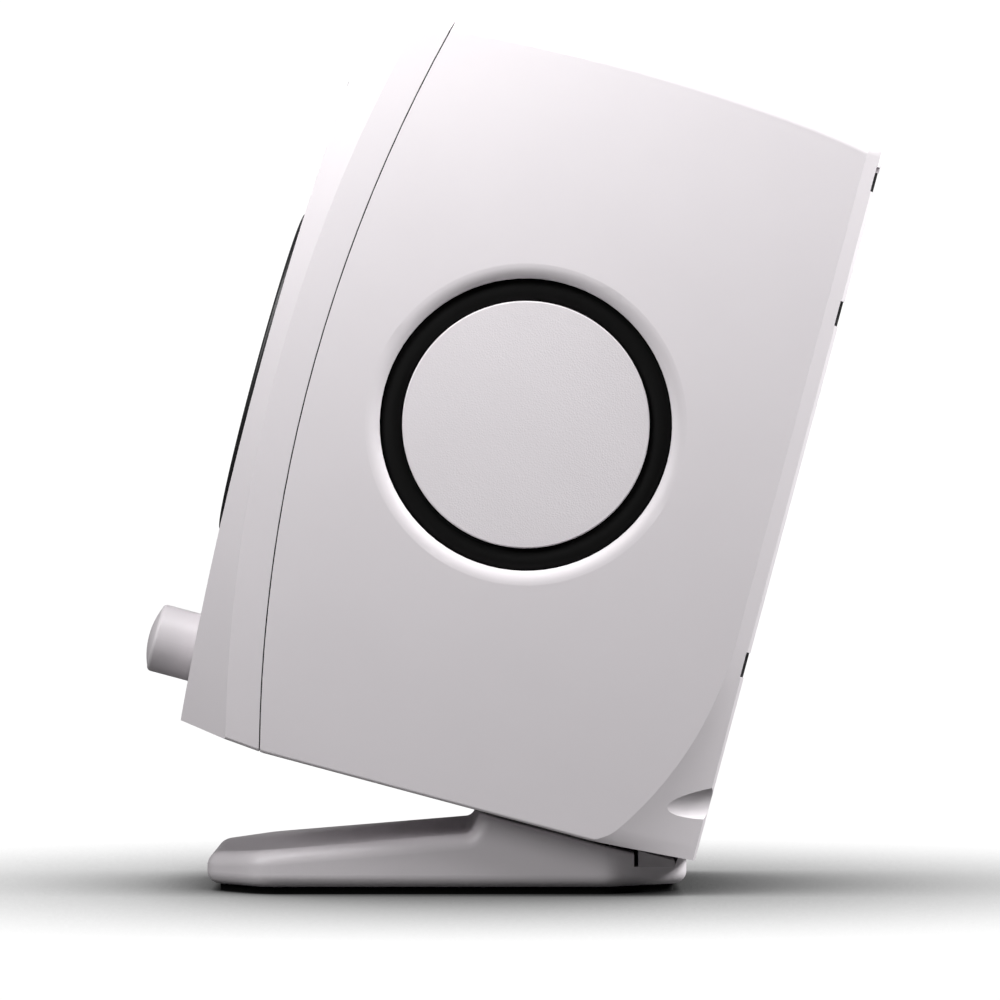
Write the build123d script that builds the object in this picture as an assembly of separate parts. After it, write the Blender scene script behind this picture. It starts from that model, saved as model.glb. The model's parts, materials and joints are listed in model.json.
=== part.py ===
from build123d import *
import os
from math import asin, cos, pi, radians, sin

# A powered desktop loudspeaker leaned back on its own stand.
#
# The speaker is drawn upright in its cabinet frame: X across, Y from the front-bottom corner of the
# side wall to the rear, Z up from that corner. `in_place` then leans it back and sets it on the stand.
# The stand is drawn where it stands, with the supporting surface at Z = 0.

# ---- placing the speaker on the stand ----
LEAN = 15.0
CORNER_Y = -91.0
CORNER_Z = 47.6

# ---- cabinet ----
HALF_WIDTH = 57.5
DEPTH = 145.5
MID_Z = 100.0
TOP_CORNER_Z = 200.3
CROWN_Z = 206.5
CROWN_FRONT = (23.0, 204.6)
CROWN_REAR = (118.0, 204.3)
BROW_END = (-8.0, 198.0)
BELLY_Z = -2.2
BELLY_REAR_Y = 116.0
BELLY_FRONT_Y = 24.0
CHIN = (-8.0, 0.6)
HEEL_Z = -0.3
WALL = 5.0
TOP_EDGE_ROUND = 3.0
BELLY_EDGE_ROUND = 0.8
FRONT_Y = -5.8
FRONT_MID_Z = 95.0
FRONT_RADIUS = 1110.0
BEVEL_Y = 0.3
BEVEL_RADIUS = 578.0
SEAM_Y = 9.7
SEAM_Z = 101.0
SEAM_RADIUS = 414.0
SEAM_GAP = 0.35
SEAM_SHADOW = 1.6
BAFFLE_BACK_Y = 5.0
BAFFLE_CAVITY_X = 43.5
BAFFLE_CAVITY_Z = (6.0, 195.0)
CAVITY_BACK_Y = 137.0
CAVITY_LOW_Z = 3.0
CAVITY_HIGH_Z = 199.5
REAR_OPENING_X = 44.0
REAR_OPENING_Z = (20.0, 186.0)
FACET_Y = 140.7
FACET_DEPTH = 4.0
FACET_TURN_Z = 60.0
FACET_RADIUS = 100.0
FACET_FOOT_Z = 3.0
FACET_FOOT_RUN = 10.3
FACET_FOOT_DROP = 5.4
FACET_TOP_ROUND = 3.0
RIM_X, RIM_Y = 54.6, 144.5
RIM_TURN = 20.0
BAFFLE_SCREW_X = 48.0
BAFFLE_SCREWS = ((16.0, 19.8), (101.0, 9.7), (186.0, 19.8))

# ---- side radiators ----
RADIATOR_Y = 69.9
RADIATOR_Z = 103.0
RADIATOR_OPENING = 40.0
MOUTH_LIP_WIDTH = 4.0
MOUTH_LIP_DEPTH = 1.5
DISC_RADIUS = 33.8
DISC_EDGE_ROUND = 0.3
DISC_RECESS = 1.6
DISC_THICK = 3.4
FRAME_RADIUS = 47.0
SURROUND_SKIN = 0.5

# ---- woofer ----
WOOFER_Z = 99.0
GRILLE_RADIUS = 46.6
GRILLE_STAND = 1.2
GRILLE_THICK = 0.8
SEAT_RADIUS = 46.8
FLANGE_Y = -0.5
FLANGE_THICK = 2.5
CONE_RADIUS = 34.6
CONE_RIM_Y = FLANGE_Y
CONE_NECK_Y = 12.0
COIL_RADIUS = 10.0
MAGNET_Y = 29.0

# ---- tweeter ----
TWEETER_Z = 169.0
WAVEGUIDE_W = 66.0
WAVEGUIDE_H = 38.0
FOIL_W = 26.0
FOIL_H = 24.0
PLEATS = 12

# ---- front controls ----
CONTROL_Z = 19.7
KNOB_X = 28.0
KNOB_RADIUS = 9.5
KNOB_FRONT_Y = -16.1
KNOB_BACK_Y = -1.8
KNOB_SEAT_Y = -0.8
KNOB_GAP = 0.5
SHAFT_RADIUS = 3.0
FIT = 0.05
PLUG_3_5_RADIUS = 1.8

# ---- rear panel ----
PANEL_HALF = 50.0
PANEL_LOW_Z = 8.0
PANEL_HIGH_Z = 197.0
PANEL_FRONT_Y = 142.7
PANEL_BACK_Y = 145.3
PANEL_GAP = 0.3
BOARD_Y = 111.4
BOARD_THICK = 1.6
STANDOFFS = ((-37.0, 30.0), (37.0, 30.0), (-37.0, 176.0), (37.0, 176.0))
SWITCH_X = (-26.0, 0.0, 26.0)
SWITCH_Z = 160.0
LINE_JACK_X = 22.0
LINE_JACK_Z = 128.0
PLUG_6_35_RADIUS = 3.25
USB_X, USB_Z = 22.0, 101.0
LINK_X, LINK_Z = 22.0, 77.0
DC_X, DC_Z = 24.0, 46.0
POWER_X, POWER_Z = -24.0, 40.0
PANEL_SCREW_X = 46.0
PANEL_SCREW_Z = (28.0, 76.0, 134.0, 192.5)
PANEL_SCREW_HEAD = 1.2
COLLAR_THICK = 0.9
NOTCH_Z = (55.0, 154.5, 192.5)
NOTCH_LENGTH = 7.0
NOTCH_DEPTH = 1.0

# ---- stand ----
STAND_HALF = 48.5
STAND_FRONT_Y = -85.2
STAND_REAR_Y = 47.9
STAND_BOTTOM_Z = 2.0
TONGUE_SLOPE = 0.083
TONGUE_Z = 10.7
RISER_Y = -12.0
RISER_RAKE = 2.4
LEDGE_Y = 33.0
LEDGE_Z = 7.4
LIP_Y = 44.6
LIP_Z = 9.6
REST_PAD = 1.0
NOSE_ROUND = 4.2
SOLE_ROUND = 3.4
LIP_ROUND = 1.0
RISER_ROUND = 1.0
FOOT_ROUND = 3.0
SCREW_Y = 100.0
SCREW_RADIUS = 3.2
HEAD_RADIUS = 10.5
HEAD_THICK = 5.0
HEAD_SEAT = 6.5
GRIP_NOTCHES = 24
INSERT_RADIUS = 6.0
INSERT_LENGTH = 11.2
INSERT_Z = 3.4
TOP_PAD_X = 40.0
REAR_PAD_X = 44.0


def in_place(piece):
    """A speaker piece, leaned back and set over the stand."""
    return Pos(0, CORNER_Y, CORNER_Z) * Rot(-LEAN, 0, 0) * piece


def block(x, y, z):
    """A box between three pairs of limits."""
    size = [high - low for low, high in (x, y, z)]
    middle = [(high + low) / 2 for low, high in (x, y, z)]
    return Pos(*middle) * Box(*size)


def rod(radius, y_from, y_to, x=0.0, z=0.0):
    """A round bar along Y."""
    return Pos(x, (y_from + y_to) / 2, z) * Rot(90, 0, 0) * Cylinder(radius, y_to - y_from)


def pipe(outer, inner, y_from, y_to, x=0.0, z=0.0):
    """A round tube along Y."""
    return rod(outer, y_from, y_to, x, z) - rod(inner, y_from - 1, y_to + 1, x, z)


def turned(*edges):
    """A solid turned about the Y axis from edges drawn as (radius, y)."""
    return revolve(make_face(edges), Axis.Y)


def dome(radius, rim_y, apex_y):
    """An arc from (radius, rim_y) to the axis, part of a sphere centred on the Y axis."""
    height = rim_y - apex_y
    ball = (radius**2 + height**2) / (2 * height)
    half_angle = asin(radius / ball) / 2
    middle = (ball * sin(half_angle), apex_y + ball * (1 - cos(half_angle)))
    return ThreePointArc((radius, rim_y), middle, (0, apex_y))


def turned_points(points):
    """A solid turned about the Y axis from a closed polygon of (radius, y) points."""
    return revolve(make_face(Polyline(*points, close=True)), Axis.Y)


def rounded_plate(width, height, corner, y_from, y_to, x=0.0, z=0.0):
    """A plate with rounded corners, facing along Y."""
    outline = Plane.XZ.offset(-y_from) * RectangleRounded(width, height, corner)
    return Pos(x, 0, z) * extrude(outline, -(y_to - y_from))


def at_radiator(piece, side):
    """A piece drawn facing -Y about the origin, moved into the side wall: side is 1 or -1."""
    return Pos(side * HALF_WIDTH, RADIATOR_Y, RADIATOR_Z) * Rot(0, 0, 90 * side) * piece


def ring_of(piece, count, radius, start=0.0):
    """Copies of a piece on a circle about the Y axis."""
    angles = [radians(start + 360 * i / count) for i in range(count)]
    return [Pos(radius * cos(a), 0, radius * sin(a)) * piece for a in angles]


# ---------------------------------------------------------------- cabinet


def side_outline():
    """The cabinet's side view: crowned top, flat belly, square rear."""
    crown = ThreePointArc(CROWN_FRONT, (68, CROWN_Z), CROWN_REAR)
    brow = TangentArc(crown @ 0, BROW_END, tangent=(crown % 0) * -1)
    tail = TangentArc(crown @ 1, (DEPTH, TOP_CORNER_Z), tangent=crown % 1)
    flat = ((BELLY_REAR_Y, BELLY_Z), (BELLY_FRONT_Y, BELLY_Z))
    belly = Polyline(tail @ 1, (DEPTH, HEEL_Z), *flat, CHIN, brow @ 1)
    return Plane.YZ * make_face([brow, crown, tail, belly])


def front_ball(growth):
    """The big ball whose surface is the softly crowned front."""
    return Pos(0, FRONT_Y + FRONT_RADIUS, FRONT_MID_Z) * Sphere(FRONT_RADIUS + growth)


def rear_facet(side):
    """The wedge cut from a rear side edge; its front line sweeps forward near the bottom."""
    low, high, behind, back = -12.0, 215.0, 165.0, DEPTH + 0.4
    centre_y = FACET_Y - FACET_RADIUS
    foot_y = centre_y + (FACET_RADIUS**2 - (FACET_TURN_Z - FACET_FOOT_Z) ** 2) ** 0.5
    shoulder_y, shoulder_z = FACET_Y - FACET_TOP_ROUND, TOP_CORNER_Z + 1.4
    turn = TangentArc((shoulder_y, shoulder_z), (FACET_Y, shoulder_z - FACET_TOP_ROUND), tangent=(1, 0))
    sweep = TangentArc((FACET_Y, FACET_TURN_Z), (foot_y, FACET_FOOT_Z), tangent=(0, -1))
    toe = (foot_y - FACET_FOOT_RUN, FACET_FOOT_Z - FACET_FOOT_DROP)
    foot = TangentArc(sweep @ 1, toe, tangent=sweep % 1)
    outer = make_face(
        [
            Line((shoulder_y, high), turn @ 0),
            turn,
            Line(turn @ 1, sweep @ 0),
            sweep,
            foot,
            Polyline(foot @ 1, (toe[0], low), (behind, low), (behind, high), (shoulder_y, high)),
        ]
    )
    heights = (high, shoulder_z, shoulder_z - FACET_TOP_ROUND, FACET_TURN_Z, FACET_FOOT_Z, toe[1], low)
    inner = make_face(Polyline(*[(back, z) for z in heights], (behind, low), (behind, high), close=True))
    outer_plane = Plane.YZ.offset(side * HALF_WIDTH)
    inner_plane = Plane.YZ.offset(side * (HALF_WIDTH - FACET_DEPTH))
    return loft([outer_plane * outer, inner_plane * inner], ruled=True)


def rear_rim(side):
    """The cut that gives the rear edge its narrow second facet."""
    wedge = block((-20, 20), (0, 20), (-150, 150))
    return Pos(side * RIM_X, RIM_Y, MID_Z) * Rot(0, 0, -RIM_TURN * side) * wedge


def pry_scoop(side):
    """The shallow finger scoop that deepens towards the rear of a lower side corner."""
    radius, dive, rise = 5.5, 21.5, 22.0
    tool = Rot(0, 0, dive * side) * Pos(side * radius, 0, 0) * Rot(90, 0, 0) * Cylinder(radius, 60)
    return Pos(side * (HALF_WIDTH - 1.4), DEPTH - 11.0, 11.0) * Rot(rise, 0, 0) * tool


def release_notch(side, z):
    """A slot through the rear rim, where a blade reaches the rear panel's edge."""
    limits = sorted((side * PANEL_HALF, side * HALF_WIDTH))
    return block(limits, (PANEL_BACK_Y - NOTCH_DEPTH, DEPTH + 1), (z - NOTCH_LENGTH / 2, z + NOTCH_LENGTH / 2))


def envelope():
    """The cabinet's whole outer shape, with nothing hollowed out."""
    body = extrude(side_outline(), HALF_WIDTH, both=True)
    for above, radius in ((True, TOP_EDGE_ROUND), (False, BELLY_EDGE_ROUND)):
        long_edges = [
            edge
            for edge in body.edges()
            if abs(abs(edge.center().X) - HALF_WIDTH) < 0.01
            and 0 < edge.center().Y < DEPTH - 1
            and (edge.center().Z > MID_Z) == above
        ]
        body = fillet(long_edges, radius)
    body &= front_ball(0)
    for side in (1, -1):
        inward = BEVEL_RADIUS * sin(radians(45))
        axis_at = Pos(side * (HALF_WIDTH - inward), BEVEL_Y + inward, MID_Z)
        body &= axis_at * Rot(0, 0, 45 * side) * Rot(0, 90, 0) * Cylinder(BEVEL_RADIUS, 800)
        body -= rear_facet(side)
        body -= rear_rim(side)
        body -= pry_scoop(side)
    return body


def seam_drum(growth):
    """The big drum whose surface is the seam between baffle and cabinet."""
    drum = Cylinder(SEAM_RADIUS + growth, 3 * HALF_WIDTH)
    return Pos(0, SEAM_Y + SEAM_RADIUS, SEAM_Z) * Rot(0, 90, 0) * drum


def cabinet_cavity():
    """The sealed air space inside the walls."""
    inner = HALF_WIDTH - WALL
    space = block((-inner, inner), (-20, CAVITY_BACK_Y), (CAVITY_LOW_Z, CAVITY_HIGH_Z))
    return fillet(space.edges().filter_by(Axis.Y), 6)


def baffle_screw_places():
    """x, z and the seam's y for each screw that pulls the baffle on from inside."""
    return [(side * BAFFLE_SCREW_X, z, seam_y) for side in (1, -1) for z, seam_y in BAFFLE_SCREWS]


def screw_block(x, z, seam_y):
    """A block on the cabinet's side wall that carries one baffle screw."""
    side = 1 if x > 0 else -1
    limits = sorted((side * 44.0, side * (HALF_WIDTH - WALL + 0.5)))
    return block(limits, (seam_y - 8, seam_y + 10), (z - 6, z + 6))


def insert_boss():
    """The boss in the cabinet floor that holds the threaded insert."""
    return Pos(0, SCREW_Y, CAVITY_LOW_Z + 4) * Cylinder(10, 10)


def radiator_mouth():
    """The cut for a radiator, with a lip that runs in softly from the side wall."""
    lip_radius = RADIATOR_OPENING + MOUTH_LIP_WIDTH
    lip = TangentArc((lip_radius, 0), (RADIATOR_OPENING, MOUTH_LIP_DEPTH), tangent=(-1, 0))
    return turned(
        Line((0, -1), (lip_radius, -1)),
        Line((lip_radius, -1), lip @ 0),
        lip,
        Line(lip @ 1, (RADIATOR_OPENING, 8)),
        Line((RADIATOR_OPENING, 8), (0, 8)),
        Line((0, 8), (0, -1)),
    )


def rear_cabinet(body):
    shell = body - cabinet_cavity()
    for place in baffle_screw_places():
        shell += screw_block(*place)
    shell += insert_boss()
    shell &= seam_drum(-SEAM_GAP / 2)
    opening = block((-REAR_OPENING_X, REAR_OPENING_X), (CAVITY_BACK_Y - 5, DEPTH + 5), REAR_OPENING_Z)
    shell -= fillet(opening.edges().filter_by(Axis.Y), 5)
    rebate_w = 2 * PANEL_HALF + 2 * PANEL_GAP
    rebate_h = PANEL_HIGH_Z - PANEL_LOW_Z + 2 * PANEL_GAP
    panel_z = (PANEL_HIGH_Z + PANEL_LOW_Z) / 2
    shell -= rounded_plate(rebate_w, rebate_h, 4.3, PANEL_FRONT_Y, DEPTH + 5, z=panel_z)
    mouth = radiator_mouth()
    for side in (1, -1):
        shell -= at_radiator(mouth, side)
        for hole in radiator_screw_set(0.0):
            shell -= at_radiator(hole, side)
    for x, z, seam_y in baffle_screw_places():
        shell -= rod(1.6, seam_y - 9, seam_y + 14, x, z)
    for x, z in panel_screw_places():
        shell -= rod(1.5, 138.5, PANEL_FRONT_Y + 1, x, z)
    for side in (1, -1):
        for z in NOTCH_Z:
            shell -= release_notch(side, z)
    shell -= Pos(0, SCREW_Y, INSERT_Z) * Cylinder(INSERT_RADIUS, INSERT_LENGTH)
    return shell


def front_baffle(body):
    front = body - seam_drum(SEAM_GAP / 2)
    front -= block((-BAFFLE_CAVITY_X, BAFFLE_CAVITY_X), (BAFFLE_BACK_Y, 40), BAFFLE_CAVITY_Z)
    front -= rod(41.0, -20, 20, z=WOOFER_Z)
    front -= rod(SEAT_RADIUS, -20, FLANGE_Y + FLANGE_THICK, z=WOOFER_Z)
    front -= rounded_plate(WAVEGUIDE_W + 0.2, WAVEGUIDE_H + 0.2, 6.1, -20, 1.5, z=TWEETER_Z)
    front -= rounded_plate(54, 30, 3, -20, 20, z=TWEETER_Z)
    front -= rod(KNOB_RADIUS + KNOB_GAP, -20, KNOB_SEAT_Y, KNOB_X, CONTROL_Z)
    front -= rod(3.7, -20, 20, KNOB_X, CONTROL_Z)
    front -= rod(3.0, -20, 20, -KNOB_X, CONTROL_Z)
    front -= rod(4.2, -20, -1.2, -KNOB_X, CONTROL_Z)
    front -= rod(1.25, -20, 20, 0, CONTROL_Z)
    for x, z, seam_y in baffle_screw_places():
        front -= rod(1.3, seam_y - 9, seam_y + 3, x, z)
    for place in tweeter_screw_places():
        front -= rod(1.0, -2, 4.0, *place)
    for hole in woofer_screw_set(1.2, FLANGE_Y, 4.6):
        front -= hole
    return front


def baffle_gasket(body):
    """The thin foam ring that seals the seam, set in from the outside so that the seam shows dark."""
    ring = body & (seam_drum(SEAM_GAP / 2) - seam_drum(-SEAM_GAP / 2))
    inset = HALF_WIDTH - SEAM_SHADOW
    ring &= block((-inset, inset), (0, 40), (-0.4, 201.4))
    ring -= block((-BAFFLE_CAVITY_X - 4, BAFFLE_CAVITY_X + 4), (0, 40), BAFFLE_CAVITY_Z)
    for x, z, seam_y in baffle_screw_places():
        ring -= rod(2.4, seam_y - 9, seam_y + 9, x, z)
    return ring


def baffle_screws():
    return [
        rod(1.3, seam_y - 9, seam_y + 10, x, z) + rod(2.8, seam_y + 10, seam_y + 12, x, z)
        for x, z, seam_y in baffle_screw_places()
    ]


# ---------------------------------------------------------------- woofer


def woofer_grille():
    """A domed perforated cap; its rim stands on the woofer's flange."""
    can = rod(GRILLE_RADIUS, -12, FLANGE_Y, z=WOOFER_Z) & front_ball(GRILLE_STAND)
    bowl = rod(GRILLE_RADIUS - GRILLE_THICK, -12, 2, z=WOOFER_Z) & front_ball(GRILLE_STAND - GRILLE_THICK)
    return can - bowl


def woofer_screw_set(radius, y_from, y_to):
    return [Pos(0, 0, WOOFER_Z) * hole for hole in ring_of(rod(radius, y_from, y_to), 4, 43.5, 45)]


def woofer_basket():
    """Cast frame: front flange, open basket with four windows, rear ring over the magnet."""
    back = FLANGE_Y + FLANGE_THICK
    cup = turned_points(
        [
            (38.5, FLANGE_Y),
            (46.4, FLANGE_Y),
            (46.4, back),
            (40.6, back),
            (40.6, 9),
            (26, MAGNET_Y),
            (11.6, MAGNET_Y),
            (11.6, MAGNET_Y - 2.2),
            (24.6, MAGNET_Y - 2.2),
            (24.6, 19.0),
            (26.6, 19.0),
            (38.5, 7.6),
        ]
    )
    cup = Pos(0, 0, WOOFER_Z) * cup
    for angle in range(4):
        window = block((24, 50), (10.0, MAGNET_Y - 3.4), (-11, 11))
        cup -= Pos(0, 0, WOOFER_Z) * Rot(0, 90 * angle + 45, 0) * window
    for hole in woofer_screw_set(1.5, FLANGE_Y - 1, back + 1):
        cup -= hole
    return cup


def woofer_screws():
    shanks = woofer_screw_set(1.2, FLANGE_Y, 4.6)
    heads = woofer_screw_set(1.9, FLANGE_Y - 1.3, FLANGE_Y)
    return [shank + head for shank, head in zip(shanks, heads)]


def woofer_cone():
    """Shallow flared cone, joined to the coil former at its neck."""
    skin, neck = 0.7, COIL_RADIUS + 0.3
    profile = [(neck, CONE_NECK_Y), (CONE_RADIUS, CONE_RIM_Y), (CONE_RADIUS, CONE_RIM_Y + skin)]
    return Pos(0, 0, WOOFER_Z) * turned_points(profile + [(neck, CONE_NECK_Y + skin)])


def woofer_dust_cap():
    """Domed cap over the coil, glued on the cone."""
    rim, skin = COIL_RADIUS + 3.2, 0.4
    slope = (CONE_NECK_Y - CONE_RIM_Y) / (CONE_RADIUS - COIL_RADIUS - 0.3)
    rim_y = CONE_NECK_Y - slope * (rim - COIL_RADIUS - 0.3) - 0.05
    front = dome(rim, rim_y - skin, rim_y - skin - 4.2)
    back = dome(rim, rim_y, rim_y - 4.2)
    cap = turned(front, Line(front @ 1, back @ 1), back, Line(back @ 0, front @ 0))
    return Pos(0, 0, WOOFER_Z) * cap


def half_roll(inner, outer, lands, base, height):
    """A rubber surround: a flat land each side of a half-round roll that bulges towards -Y."""
    skin = SURROUND_SKIN
    roll_in, roll_out = inner + lands[0], outer - lands[1]
    middle = (roll_in + roll_out) / 2
    crest = ThreePointArc((roll_in, base - skin), (middle, base - skin - height), (roll_out, base - skin))
    hollow = ThreePointArc((roll_out - skin, base), (middle, base - height), (roll_in + skin, base))
    return turned(
        Line((inner, base), (inner, base - skin)),
        Line((inner, base - skin), crest @ 0),
        crest,
        Line(crest @ 1, (outer, base - skin)),
        Line((outer, base - skin), (outer, base)),
        Line((outer, base), hollow @ 0),
        hollow,
        Line(hollow @ 1, (inner, base)),
    )


def woofer_surround():
    return Pos(0, 0, WOOFER_Z) * half_roll(CONE_RADIUS - 2.0, 41.4, (2.2, 2.6), FLANGE_Y, 2.0)


def woofer_spider():
    """Corrugated cloth disc that centres the coil."""
    waves, skin, inner, outer, y = 4, 0.5, COIL_RADIUS + 0.35, 24.4, 20.0
    pitch = (outer - 2 - inner) / waves
    front = [(inner, y)]
    for i in range(waves):
        front += [(inner + pitch * (i + 0.25), y - 1.0), (inner + pitch * (i + 0.75), y + 1.0)]
    front.append((outer, y))
    back = [(radius, height + skin) for radius, height in reversed(front)]
    return Pos(0, 0, WOOFER_Z) * turned_points(front + back)


def voice_coil():
    """Former with its winding in the magnet gap."""
    former = pipe(COIL_RADIUS, COIL_RADIUS - 0.3, 12.8, 33.0)
    winding = pipe(COIL_RADIUS + 0.6, COIL_RADIUS - 0.1, 27.5, 33.0)
    return Pos(0, 0, WOOFER_Z) * (former + winding)


def woofer_top_plate():
    return pipe(26, COIL_RADIUS + 1.1, MAGNET_Y, MAGNET_Y + 4, z=WOOFER_Z)


def woofer_magnet():
    ring = pipe(29, 14, MAGNET_Y + 4, MAGNET_Y + 15, z=WOOFER_Z)
    return chamfer(ring.edges().filter_by(GeomType.CIRCLE).group_by(SortBy.RADIUS)[-1], 1.0)


def woofer_back_plate():
    """Steel plate with the centre pole."""
    plate = rod(26, MAGNET_Y + 15, MAGNET_Y + 19, z=WOOFER_Z)
    return plate + pipe(COIL_RADIUS - 0.8, 3, MAGNET_Y, MAGNET_Y + 19, z=WOOFER_Z)


# ---------------------------------------------------------------- tweeter


def tweeter_screw_places():
    return [(x, TWEETER_Z + z) for x in (-30.2, 30.2) for z in (-12.0, 12.0)]


def tweeter_waveguide():
    """Faceplate flush with the baffle, with a flared throat down to the foil."""
    plate = rounded_plate(WAVEGUIDE_W, WAVEGUIDE_H, 6, -12, 1.5, z=TWEETER_Z)
    plate &= front_ball(-0.3)
    plate += rounded_plate(53.6, 29.6, 3, 1.5, 6, z=TWEETER_Z)
    mouth = Plane.XZ.offset(8) * RectangleRounded(64, 37, 5)
    throat = Plane.XZ.offset(-4.5) * RectangleRounded(FOIL_W, FOIL_H, 1.5)
    plate -= Pos(0, 0, TWEETER_Z) * loft([mouth, throat], ruled=True)
    plate -= rounded_plate(FOIL_W, FOIL_H, 1.5, 4, 7, z=TWEETER_Z)
    for place in tweeter_screw_places():
        plate -= rod(1.2, -12, 2, *place)
        plate -= rod(2.2, -12, -1.2, *place)
    return plate


def tweeter_screws():
    return [rod(1.0, -1.2, 4.0, *place) + rod(1.9, -2.2, -1.2, *place) for place in tweeter_screw_places()]


def tweeter_diaphragm():
    """Foil folded into upright pleats."""
    skin, depth, y = 0.3, 2.4, 6.6
    pitch = (FOIL_W - 1) / (2 * PLEATS)
    left = -(FOIL_W - 1) / 2
    front = [(left + pitch * i, y + (depth if i % 2 else 0)) for i in range(2 * PLEATS + 1)]
    back = [(x, foil_y + skin / sin(radians(23))) for x, foil_y in reversed(front)]
    foil = extrude(make_face(Polyline(*front, *back, close=True)), FOIL_H / 2, both=True)
    return Pos(0, 0, TWEETER_Z) * foil


def tweeter_magnet():
    """Magnet housing with the pocket that the foil stands in."""
    housing = rounded_plate(50, 28, 3, 6, 24, z=TWEETER_Z)
    pocket = rounded_plate(FOIL_W, FOIL_H + 1, 1, 5, 11, z=TWEETER_Z)
    slots = [block((x - 1.5, x + 1.5), (10, 30), (TWEETER_Z - 9, TWEETER_Z + 9)) for x in (-8, 0, 8)]
    return housing - pocket - slots


# ---------------------------------------------------------------- side radiators


def radiator_screw_set(clearance):
    """Six screws that hold a radiator frame against the inside of the side wall."""
    screw = rod(1.2 + clearance, WALL - 2.5, WALL + 3.6)
    return ring_of(screw, 6, 44.6, 30)


def radiator_frame():
    ring = pipe(FRAME_RADIUS, 37.2, WALL + 0.5, WALL + 3.6)
    ring += pipe(FRAME_RADIUS, 43.3, WALL, WALL + 0.5)
    for hole in radiator_screw_set(0.1):
        ring -= hole
    return ring


def radiator_screws():
    heads = ring_of(rod(2.2, WALL + 3.6, WALL + 5.0), 6, 44.6, 30)
    return [shank + head for shank, head in zip(radiator_screw_set(0.0), heads)]


def radiator_surround():
    return half_roll(DISC_RADIUS - 3.0, 43.1, (3.4, 3.4), WALL + SURROUND_SKIN, 2.4)


def radiator_disc():
    """White grained plate with a rounded edge."""
    front, back, edge = DISC_RECESS, DISC_RECESS + DISC_THICK, DISC_EDGE_ROUND
    return turned(
        Line((0, front), (DISC_RADIUS - edge, front)),
        RadiusArc((DISC_RADIUS - edge, front), (DISC_RADIUS, front + edge), edge),
        Line((DISC_RADIUS, front + edge), (DISC_RADIUS, back)),
        Line((DISC_RADIUS, back), (0, back)),
        Line((0, back), (0, front)),
    )


def radiator_weight():
    """Spacer and steel tuning weight behind the disc."""
    back = DISC_RECESS + DISC_THICK
    return rod(DISC_RADIUS - 3.4, back, WALL + 0.8) + pipe(18, 4, WALL + 0.8, WALL + 6.0)


# ---------------------------------------------------------------- front controls


def volume_knob():
    """Domed knob, hollow behind, with a boss on the encoder shaft."""
    back, shoulder = KNOB_BACK_Y, KNOB_FRONT_Y + 2.9
    outer = Line((KNOB_RADIUS, back), (KNOB_RADIUS, shoulder))
    edge = RadiusArc((KNOB_RADIUS, shoulder), (KNOB_RADIUS - 1.1, shoulder - 1.2), 1.2)
    face = dome(KNOB_RADIUS - 1.1, shoulder - 1.2, KNOB_FRONT_Y)
    knob = turned(outer, edge, face, Line(face @ 1, (0, back)), Line((0, back), outer @ 0))
    knob -= pipe(KNOB_RADIUS - 1.6, 4.6, -8.5, back + 1)
    knob -= rod(SHAFT_RADIUS, -10.0, back + 1)
    return Pos(KNOB_X, 0, CONTROL_Z) * knob


def encoder_shaft():
    shaft = rod(SHAFT_RADIUS, -10.0, 9.9)
    return Pos(KNOB_X, 0, CONTROL_Z) * shaft


def encoder_body():
    """Encoder housing behind the baffle, with its bush through the wall."""
    housing = block((-6.2, 6.2), (BAFFLE_BACK_Y, 13.4), (-6.2, 6.2)) + rod(3.7, KNOB_SEAT_Y, BAFFLE_BACK_Y)
    housing -= rod(SHAFT_RADIUS + FIT, -3, 10.0)
    housing -= rod(4.0, 9.5, 12.4)
    return Pos(KNOB_X, 0, CONTROL_Z) * housing


def encoder_plunger():
    """The switch plunger that the shaft pushes."""
    return rod(3.6, 10.0, 11.2, KNOB_X, CONTROL_Z)


def headphone_jack():
    body = block((-4, 4), (BAFFLE_BACK_Y, 13.4), (-3.6, 3.6)) + rod(3.0, -2.0, BAFFLE_BACK_Y)
    body += rod(4.2, -2.9, -1.2)
    body -= rod(PLUG_3_5_RADIUS, -5, 12.4)
    return Pos(-KNOB_X, 0, CONTROL_Z) * body


def status_light():
    return rod(1.25, -2.4, 13.4, 0, CONTROL_Z)


def front_board():
    return block((-40, 40), (13.4, 15.0), (9, 34))


# ---------------------------------------------------------------- rear panel and electronics


def panel_screw_places():
    return [(x, z) for x in (-PANEL_SCREW_X, PANEL_SCREW_X) for z in PANEL_SCREW_Z]


def rear_panel():
    middle = (PANEL_LOW_Z + PANEL_HIGH_Z) / 2
    height = PANEL_HIGH_Z - PANEL_LOW_Z
    panel = rounded_plate(2 * PANEL_HALF, height, 4, PANEL_FRONT_Y, PANEL_BACK_Y, z=middle)
    for x in (-LINE_JACK_X, LINE_JACK_X):
        panel -= rod(5.4, 140, 150, x, LINE_JACK_Z)
        panel -= rod(7.6, PANEL_BACK_Y - COLLAR_THICK, 150, x, LINE_JACK_Z)
    for x in SWITCH_X:
        panel -= block((x - 4.2, x + 4.2), (140, 150), (SWITCH_Z - 1.7, SWITCH_Z + 1.7))
    panel -= rounded_plate(9.4, 3.6, 1.6, 140, 150, USB_X, USB_Z)
    panel -= block((LINK_X - 7.8, LINK_X + 7.8), (140, 150), (LINK_Z - 6.5, LINK_Z + 6.5))
    panel -= rod(4.6, 140, 150, DC_X, DC_Z)
    panel -= rod(6.6, 140, 150, POWER_X, POWER_Z)
    for x, z in panel_screw_places():
        panel -= rod(1.8, 140, 150, x, z)
        panel -= rod(2.9, PANEL_BACK_Y - PANEL_SCREW_HEAD, 150, x, z)
    return panel


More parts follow.
